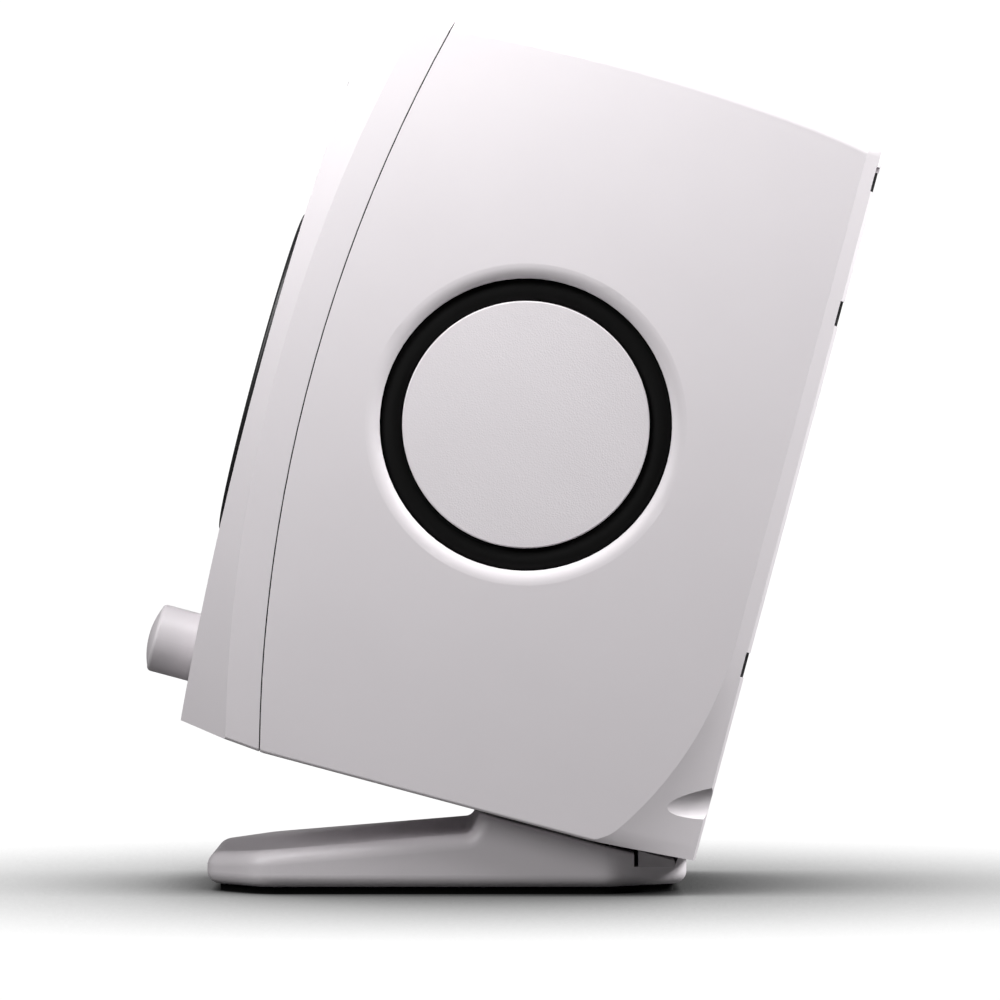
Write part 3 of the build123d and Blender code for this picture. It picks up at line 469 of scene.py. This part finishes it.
def spider_cloth():
    """Tan cloth with crossed threads."""
    material, tree, shader, place, relief = surface(
        "spider_cloth", (0.52, 0.38, 0.18), gloss=0.6, vary=0.1, grain=0.0003, depth=0.00001
    )
    for direction in ("X", "Z"):
        wave = add(tree, "ShaderNodeTexWave", {"bands_direction": direction}, Vector=place, Scale=100.0)
        relief = bump(tree, wave.outputs["Fac"], depth=0.00004, normal=relief)
    tree.links.new(relief, shader.inputs["Normal"])
    return material


def coil_copper():
    """Enamelled wire wound round the former."""
    material, tree, shader, place, relief = surface(
        "coil_copper", (0.72, 0.33, 0.14), gloss=0.3, Metallic=1.0
    )
    turns = add(tree, "ShaderNodeTexWave", {"bands_direction": "Y"}, Vector=place, Scale=90.0)
    wound = bump(tree, turns.outputs["Fac"], depth=0.00005, normal=relief)
    tree.links.new(wound, shader.inputs["Normal"])
    return material


def panel_black():
    """Steel sheet in fine-textured black powder coat."""
    return pebbled(
        "panel_black", (0.02, 0.02, 0.021), pebble=0.0009, pebble_depth=0.00003, feature="F1",
        gloss=0.5, vary=0.12, grain=0.0004, depth=0.00003,
    )


def jack_black():
    """Smoother black moulding of the sockets."""
    return plain("jack_black", (0.016, 0.016, 0.017), gloss=0.38, vary=0.12, grain=0.0004, depth=0.00001)


def shell_steel():
    """Bright pressed steel."""
    return brushed("shell_steel", (0.62, 0.62, 0.63), gloss=0.28, stretch=(0.2, 1.0, 1.0))


def board_green():
    """Solder mask over glass cloth, with traces that show as a faint relief."""
    material, tree, shader, place, relief = surface(
        "board_green", (0.02, 0.11, 0.05), gloss=0.3, vary=0.15, grain=0.0006, depth=0.00001
    )
    pattern = {"offset": 0.5, "squash": 1.0}
    traces = add(tree, "ShaderNodeTexBrick", pattern, Vector=place, Scale=180.0, Mortar_Size=0.08)
    raised = bump(tree, traces.outputs["Fac"], depth=0.00003, normal=relief)
    tree.links.new(raised, shader.inputs["Normal"])
    return material


def sink_aluminium():
    """Extruded aluminium with draw lines."""
    return brushed("sink_aluminium", (0.60, 0.60, 0.61), gloss=0.35, stretch=(1.0, 1.0, 0.06))


def capacitor_sleeve():
    """Glossy dark blue shrink sleeve."""
    return plain("capacitor_sleeve", (0.02, 0.025, 0.06), gloss=0.22, vary=0.1, grain=0.0006, depth=0.00001)


def foam_grey():
    """Open-cell foam."""
    return pebbled(
        "foam_grey", (0.16, 0.16, 0.165), pebble=0.0012, pebble_depth=0.0005, feature="F1",
        gloss=0.9, vary=0.15, grain=0.0008, depth=0.0002, Sheen_Weight=0.3,
    )


def lead_jacket():
    """Black sheath of the internal leads."""
    return plain("lead_jacket", (0.03, 0.03, 0.031), gloss=0.45, vary=0.1, grain=0.0005, depth=0.00001)


def insert_brass():
    """Turned brass."""
    return brushed("insert_brass", (0.74, 0.56, 0.26), gloss=0.3, stretch=(1.0, 1.0, 0.1))


def light_pipe():
    """Clear pipe with a faint green glow from its lamp."""
    material, _, shader, *_ = surface(
        "light_pipe", (0.75, 0.92, 0.82),
        gloss=0.2, grain=0.0004, depth=0.000004, Transmission_Weight=0.4, IOR=1.49,
    )
    shader.inputs["Emission Color"].default_value = (0.55, 1.0, 0.72, 1.0)
    shader.inputs["Emission Strength"].default_value = 0.6
    return material


FINISHES = {
    make.__name__: make
    for make in (
        cabinet_plastic, knob_plastic, stand_plastic, disc_skin, rubber_black, rubber_grey, grille_steel,
        black_plastic, cone_metal, foil, cast_frame, plated_steel, screw_black, magnet_ferrite,
        spider_cloth, coil_copper, panel_black, jack_black, shell_steel, board_green, sink_aluminium,
        capacitor_sleeve, foam_grey, lead_jacket, insert_brass, light_pipe,
    )
}


def finish(slot):
    """The material of a slot, made on first use."""
    name = slot + "_finish"
    material = bpy.data.materials.get(name)
    if material is None:
        material = FINISHES[slot]()
        material.name = name
    return material


def dress_cad_nodes():
    """Gives every CAD node its slot's finish."""
    for node in frame["nodes"].values():
        for held in node.material_slots:
            slot = held.material.name.split(".")[0]
            if slot in FINISHES:
                held.material = finish(slot)


# ---------------------------------------------------------------- woofer grille


def hole_centre(column, row):
    """Where a hole of the grille's hexagonal pattern lies."""
    return (column + 0.5 * (row % 2)) * HOLE_PITCH, row * HOLE_ROW_PITCH


def grille_holes(reach):
    """Columns and rows of the holes whose cells lie within a radius."""
    rows = int(reach / HOLE_ROW_PITCH) + 1
    return [
        (column, row)
        for row in range(-rows, rows + 1)
        for column in range(-rows, rows + 1)
        if hypot(*hole_centre(column, row)) + HOLE_CELL < reach
    ]


def nearest_hole(middle):
    """Column and row of the pattern's cell that a point lies in."""
    near_row = round(middle.y / HOLE_ROW_PITCH)
    places = []
    for row in (near_row - 1, near_row, near_row + 1):
        column = round(middle.x / HOLE_PITCH - 0.5 * (row % 2))
        x, y = hole_centre(column, row)
        places.append((hypot(middle.x - x, middle.y - y), (column, row)))
    return min(places)[1]


class GrilleCap:
    """The grille's sheet in its own axes: a dome over a flat base, as points and faces."""

    def __init__(self, height):
        self.height = height
        self.points = []
        self.faces = []
        self.corners = {}

    def lift(self, x, y):
        """The dome's height at a place."""
        rest = GRILLE_CROWN_RADIUS**2 - x * x - (y + GRILLE_CROWN_DROP) ** 2
        return self.height - GRILLE_CROWN_RADIUS + sqrt(rest)

    def corner(self, x, y):
        """The number of the dome's point at a place, added only once."""
        key = (round(x, CORNER_DIGITS), round(y, CORNER_DIGITS))
        if key not in self.corners:
            self.corners[key] = len(self.points)
            self.points.append((x, y, self.lift(x, y)))
        return self.corners[key]

    def band(self, outer, inner):
        """Joins two closed rows of points."""
        for here in range(len(outer)):
            after = (here + 1) % len(outer)
            self.faces.append((outer[here], outer[after], inner[after], inner[here]))

    def add_row(self, above, row):
        """Adds a closed row of points, joined to the row above it, and returns its numbers."""
        numbers = list(range(len(self.points), len(self.points) + len(row)))
        self.points += row
        self.band(above, numbers)
        return numbers


def add_hole(cap, column, row):
    """Adds a hole's hexagonal cell, and returns the cell's outer edges."""
    x, y = hole_centre(column, row)
    outer, inner = [], []
    for step in range(HOLE_SIDES):
        angle = tau * step / HOLE_SIDES + pi / 6
        far = HOLE_CELL if step % 2 == 0 else HOLE_CELL * cos(pi / 6)
        outer.append(cap.corner(x + far * cos(angle), y + far * sin(angle)))
        inner.append(cap.corner(x + HOLE_RADIUS * cos(angle), y + HOLE_RADIUS * sin(angle)))
    cap.band(outer, inner)
    return [tuple(sorted(edge)) for edge in zip(outer, outer[1:] + outer[:1])]


def add_holes(cap, holes):
    """Adds every hole's cell, and returns the edges that only one cell has."""
    uses = {}
    for column, row in holes:
        for edge in add_hole(cap, column, row):
            uses[edge] = uses.get(edge, 0) + 1
    return [edge for edge, count in uses.items() if count == 1]


def add_land(cap, circle, border, holes):
    """Fills the plain land between the outermost cells and the circle round them."""
    used = sorted({end for edge in border for end in edge})
    order = {end: number for number, end in enumerate(used)}
    flat = [Vector(cap.points[end][:2]) for end in used] + [Vector(spot) for spot in circle]
    edges = [(order[a], order[b]) for a, b in border]
    edges += [(len(used) + step, len(used) + (step + 1) % len(circle)) for step in range(len(circle))]
    spots, _, triangles, *_ = delaunay_2d_cdt(flat, edges, [], FILL_WHOLE_HULL, FILL_REACH)
    open_holes = set(holes)
    for triangle in triangles:
        middle = sum((spots[i] for i in triangle), Vector((0.0, 0.0))) / 3
        if nearest_hole(middle) not in open_holes:
            cap.faces.append(tuple(cap.corner(*spots[i]) for i in triangle))


def add_skirt(cap, circle, face_radius, radius):
    """Rounds the face's edge over, and runs a straight skirt down to the base."""
    row = [cap.corner(x, y) for x, y in circle]
    for step in range(1, GRILLE_BEND_STEPS + 1):
        bend = radians(90) * step / GRILLE_BEND_STEPS
        far = (face_radius + GRILLE_BEND * sin(bend)) / face_radius
        drop = GRILLE_BEND * (1 - cos(bend))
        row = cap.add_row(row, [(x * far, y * far, cap.lift(x, y) - drop) for x, y in circle])
    far = radius / face_radius
    cap.add_row(row, [(x * far, y * far, 0.0) for x, y in circle])


def woofer_grille():
    """A perforated steel cap: domed face, rounded edge and a skirt down to the woofer's flange."""
    low, high = extent("woofer_grille")
    radius = (high.x - low.x) / 2
    face_radius = radius - GRILLE_BEND
    turns = [tau * step / GRILLE_EDGE_STEPS for step in range(GRILLE_EDGE_STEPS)]
    circle = [(face_radius * cos(turn), face_radius * sin(turn)) for turn in turns]
    holes = grille_holes(face_radius - GRILLE_EDGE_LAND)
    cap = GrilleCap(high.y - low.y)
    border = add_holes(cap, holes)
    add_land(cap, circle, border, holes)
    add_skirt(cap, circle, face_radius, radius)
    place = facing(LEAN @ Vector(((low.x + high.x) / 2, high.y, (low.z + high.z) / 2)), FRONT)
    placed = [place @ Vector(point) for point in cap.points]
    made = piece("woofer_grille", placed, cap.faces, "grille_steel", "cabinet")
    sheet = made.modifiers.new("sheet", "SOLIDIFY")
    sheet.thickness = GRILLE_SHEET
    sheet.offset = -1.0


# ---------------------------------------------------------------- suspensions


def round_size(node, outward):
    """A round CAD node's back face, looking outward, with its inner radius, outer radius and height."""
    low, high = extent(node)
    place = facing(LEAN @ ((low + high) / 2), outward)
    back = place.inverted()
    points = [back @ vertex.co for vertex in frame["nodes"][node].data.vertices]
    radii = [hypot(point.x, point.y) for point in points]
    bottom = min(point.z for point in points)
    top = max(point.z for point in points)
    return place @ Matrix.Translation((0.0, 0.0, bottom)), min(radii), max(radii), top - bottom


def roll_profile(inner, outer, lands, rise):
    """A half-round roll between two flat lands, as a closed (radius, height) outline."""
    roll_in, roll_out = inner + lands[0], outer - lands[1]
    middle, half = (roll_in + roll_out) / 2, (roll_out - roll_in) / 2
    turns = [pi * (1 - step / ROLL_STEPS) for step in range(ROLL_STEPS + 1)]
    front = [(middle + half * cos(turn), SUSPENSION_SKIN + rise * sin(turn)) for turn in turns]
    hollow = half - SUSPENSION_SKIN
    back = [(middle + hollow * cos(turn), rise * sin(turn)) for turn in reversed(turns)]
    return [(inner, 0.0), (inner, SUSPENSION_SKIN), *front, (outer, SUSPENSION_SKIN), (outer, 0.0), *back]


def spider_profile(inner, outer, height):
    """Corrugated cloth between two flat lands, as a closed (radius, height) outline."""
    swing = (height - SUSPENSION_SKIN) / 2
    wave_in, wave_out = inner + SPIDER_LANDS[0], outer - SPIDER_LANDS[1]
    front = [(inner, swing)]
    for step in range(SPIDER_STEPS + 1):
        share = step / SPIDER_STEPS
        wave = sin(tau * SPIDER_WAVES * share)
        front.append((wave_in + (wave_out - wave_in) * share, swing * (1 + wave)))
    front.append((outer, swing))
    back = [(radius, level + SUSPENSION_SKIN) for radius, level in reversed(front)]
    return front + back


def suspension(node, moving, slot, profile, place, neck, rim):
    """A ring that follows a moving body inside its neck radius and the cabinet outside its rim."""
    points, faces = turned(profile, place)
    made = piece(node, points, faces, slot)
    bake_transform(made, "cabinet", moving, place @ Vector((rim, 0.0, 0.0)), place @ Vector((neck, 0.0, 0.0)))
    back = place.inverted()
    for vertex, held in zip(made.data.vertices, made.data.attributes["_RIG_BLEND"].data):
        spot = back @ vertex.co
        share = (rim - hypot(spot.x, spot.y)) / (rim - neck)
        share = min(max(share, 0.0), 1.0)
        held.value = share * share * (3 - 2 * share)


def surround(node, outward, moving, lands):
    """A rubber roll between a moving part and its frame."""
    place, inner, outer, height = round_size(node, outward)
    profile = roll_profile(inner, outer, lands, height - SUSPENSION_SKIN)
    suspension(node, moving, "rubber_black", profile, place, inner + lands[0], outer - lands[1])


def spider():
    """The cloth disc that centres the voice coil."""
    place, inner, outer, height = round_size("woofer_spider", FRONT)
    profile = spider_profile(inner, outer, height)
    neck, rim = inner + SPIDER_LANDS[0], outer - SPIDER_LANDS[1]
    suspension("woofer_spider", "woofer_moving", "spider_cloth", profile, place, neck, rim)


# ---------------------------------------------------------------- screws and foam


def socket_screw(place, radius, head, length):
    """Points and faces of a screw with a hexagon socket; its head's top is at the place, facing local Z."""
    turns = [tau * step / SCREW_STEPS for step in range(SCREW_STEPS)]

    def loop(size, level, sides=None):
        spots = []
        for turn in turns:
            far = size
            if sides:
                far = size * cos(pi / sides) / cos(turn % (tau / sides) - pi / sides)
            spots.append(place @ Vector((far * cos(turn), far * sin(turn), level)))
        return spots

    edge = radius * SCREW_EDGE_SHARE
    shank = radius * SCREW_SHANK_SHARE
    socket = radius * SCREW_SOCKET_SHARE
    return capped_skin(
        [
            loop(shank * SCREW_TIP_SHARE, -length),
            loop(shank, -length + shank * SCREW_TIP_LENGTH_SHARE),
            loop(shank, -head),
            loop(radius, -head),
            loop(radius, -edge),
            loop(radius - edge, 0.0),
            loop(socket, 0.0, SCREW_SOCKET_SIDES),
            loop(socket, -head * SCREW_SOCKET_DEPTH_SHARE, SCREW_SOCKET_SIDES),
        ]
    )


def screws(node, outward, head):
    """A set of screws along the cabinet's depth, whose heads look outward."""
    points, faces = [], []
    for low, high in solids_of(node):
        centre = (low + high) / 2
        centre.y = high.y if outward == REAR else low.y
        place = facing(LEAN @ centre, outward)
        more_points, more_faces = socket_screw(place, (high.x - low.x) / 2, head, high.y - low.y)
        faces += [tuple(len(points) + i for i in face) for face in more_faces]
        points += more_points
    piece(node, points, faces, "screw_black", "cabinet")


def damping_foam():
    """A block of open-cell foam under the cabinet's roof, with an egg-crate lower face."""
    low, high = extent("damping_foam")
    columns = round((high.x - low.x) / FOAM_STEP)
    rows = round((high.y - low.y) / FOAM_STEP)

    def spot(column, row, lower):
        x = low.x + (high.x - low.x) * column / columns
        y = low.y + (high.y - low.y) * row / rows
        wave = cos(tau * (x - low.x) / FOAM_PEAK_PITCH) * cos(tau * (y - low.y) / FOAM_PEAK_PITCH)
        return LEAN @ Vector((x, y, low.z + FOAM_PEAK * (1 - wave) / 2 if lower else high.z))

    across = columns + 1
    layer = across * (rows + 1)
    points = [spot(c, r, lower) for lower in (True, False) for r in range(rows + 1) for c in range(across)]
    faces = []
    for row in range(rows):
        for column in range(columns):
            first = row * across + column
            square = (first, first + 1, first + across + 1, first + across)
            faces.append(square)
            faces.append(tuple(layer + i for i in square))
    rim = [(c, 0) for c in range(columns)] + [(columns, r) for r in range(rows)]
    rim += [(c, rows) for c in range(columns, 0, -1)] + [(0, r) for r in range(rows, 0, -1)]
    numbers = [r * across + c for c, r in rim]
    for here, after in zip(numbers, numbers[1:] + numbers[:1]):
        faces.append((here, after, layer + after, layer + here))
    foam = piece("damping_foam", points, faces, "foam_grey", "cabinet")


# ---------------------------------------------------------------- stage, light and camera


def floor_paper():
    """White paper glowing for the eye, with a soft contact shadow painted into its glow from occlusion near
    the object, and little light thrown back up.
    """
    material = bpy.data.materials.new("floor_paper")
    material.use_nodes = True
    tree = material.node_tree
    tree.nodes.clear()
    # Painted contact shadow: occlusion near the object darkens the floor's white glow.
    shelter = add(tree, "ShaderNodeAmbientOcclusion", {"samples": SHADE_SAMPLES}, Distance=SHADE_REACH)
    painted_shadow = add(tree, "ShaderNodeMath", {"operation": "POWER"})
    tree.links.new(shelter.outputs["AO"], painted_shadow.inputs[0])
    painted_shadow.inputs[1].default_value = SHADE_DEPTH
    white = add(tree, "ShaderNodeEmission", Strength=FLOOR_WHITE)
    tree.links.new(painted_shadow.outputs[0], white.inputs["Color"])
    dim = add(tree, "ShaderNodeBsdfDiffuse", Color=FLOOR_BOUNCE)
    mixed = by_camera(tree, dim, white)
    add(tree, "ShaderNodeOutputMaterial", Surface=mixed)
    return material


def by_camera(tree, lighting, seen):
    """One shader for the light that falls on the object, and another for what the camera sees."""
    straight = add(tree, "ShaderNodeLightPath").outputs["Is Camera Ray"]
    mixed = add(tree, "ShaderNodeMixShader", Fac=straight)
    tree.links.new(lighting.outputs[0], mixed.inputs[1])
    tree.links.new(seen.outputs[0], mixed.inputs[2])
    return mixed.outputs[0]


def studio_floor():
    """A wide white floor under the stand."""
    mesh = bpy.data.meshes.new("floor")
    signs = ((-1, -1), (1, -1), (1, 1), (-1, 1))
    mesh.from_pydata([(x * FLOOR_HALF, y * FLOOR_HALF, 0.0) for x, y in signs], [], [(0, 1, 2, 3)])
    mesh.materials.append(floor_paper())
    floor = bpy.data.objects.new("floor", mesh)
    bpy.context.scene.collection.objects.link(floor)


def studio_world():
    """White behind the object, and a softer white that lights it."""
    world = bpy.data.worlds.new("studio")
    bpy.context.scene.world = world
    world.use_nodes = True
    tree = world.node_tree
    tree.nodes.clear()
    seen = add(tree, "ShaderNodeBackground", Color=(1.0, 1.0, 1.0, 1.0), Strength=BACKDROP_WHITE)
    glow = add(tree, "ShaderNodeBackground", Color=ROOM_TINT, Strength=ROOM_GLOW)
    add(tree, "ShaderNodeOutputWorld", Surface=by_camera(tree, glow, seen))


def soft_box(name, place, energy, size, target=LIGHT_TARGET):
    """A square area light that looks at a target."""
    light = bpy.data.lights.new(name, "AREA")
    light.energy = energy
    light.shape = "SQUARE"
    light.size = size
    box = bpy.data.objects.new(name, light)
    bpy.context.scene.collection.objects.link(box)
    box.location = place
    box.rotation_mode = "QUATERNION"
    box.rotation_quaternion = (Vector(target) - Vector(place)).to_track_quat("-Z", "Y")


def studio_lights():
    """Soft boxes close over the object, before it, behind it, and on its far side."""
    soft_box("close_front_box", (0.20, -0.12, 0.40), energy=0.56, size=0.12)
    soft_box("close_top_box", (0.16, 0.0, 0.42), energy=0.20, size=0.15)
    soft_box("top_rear_box", (0.30, 0.35, 0.60), energy=0.67, size=0.30)
    soft_box("rear_box", (0.15, 0.65, 0.55), energy=7.0, size=0.30)
    soft_box("wide_front_box", (0.90, -0.90, 0.80), energy=8.2, size=0.60)
    soft_box("low_front_box", (0.20, -0.80, 0.20), energy=0.16, size=0.30)
    soft_box("far_rear_box", (-0.85, 0.80, 0.40), energy=7.0, size=0.40, target=FAR_LIGHT_TARGET)


def studio_camera():
    """A long lens at the object's side, looking level."""
    data = bpy.data.cameras.new("camera")
    data.sensor_width = CAMERA_SENSOR_MM
    data.lens = CAMERA_LENS_MM
    data.clip_end = CAMERA_SIGHT
    camera = bpy.data.objects.new("camera", data)
    bpy.context.scene.collection.objects.link(camera)
    camera.location = (CAMERA_REACH, CAMERA_SIDESTEP, CAMERA_HEIGHT)
    camera.rotation_euler = (radians(90), 0.0, radians(90))
    bpy.context.scene.camera = camera


studio_camera()
studio_world()
studio_lights()
studio_floor()
bpy.context.scene.view_settings.view_transform = "Standard"
dress_cad_nodes()
woofer_grille()
surround("woofer_surround", FRONT, "woofer_moving", WOOFER_LANDS)
surround("right_radiator_surround", RIGHT, "right_radiator", RADIATOR_LANDS)
surround("left_radiator_surround", -RIGHT, "left_radiator", RADIATOR_LANDS)
spider()
screws("rear_panel_screws", REAR, PANEL_SCREW_HEAD)
screws("tweeter_screws", FRONT, TWEETER_SCREW_HEAD)
screws("woofer_screws", FRONT, WOOFER_SCREW_HEAD)
damping_foam()
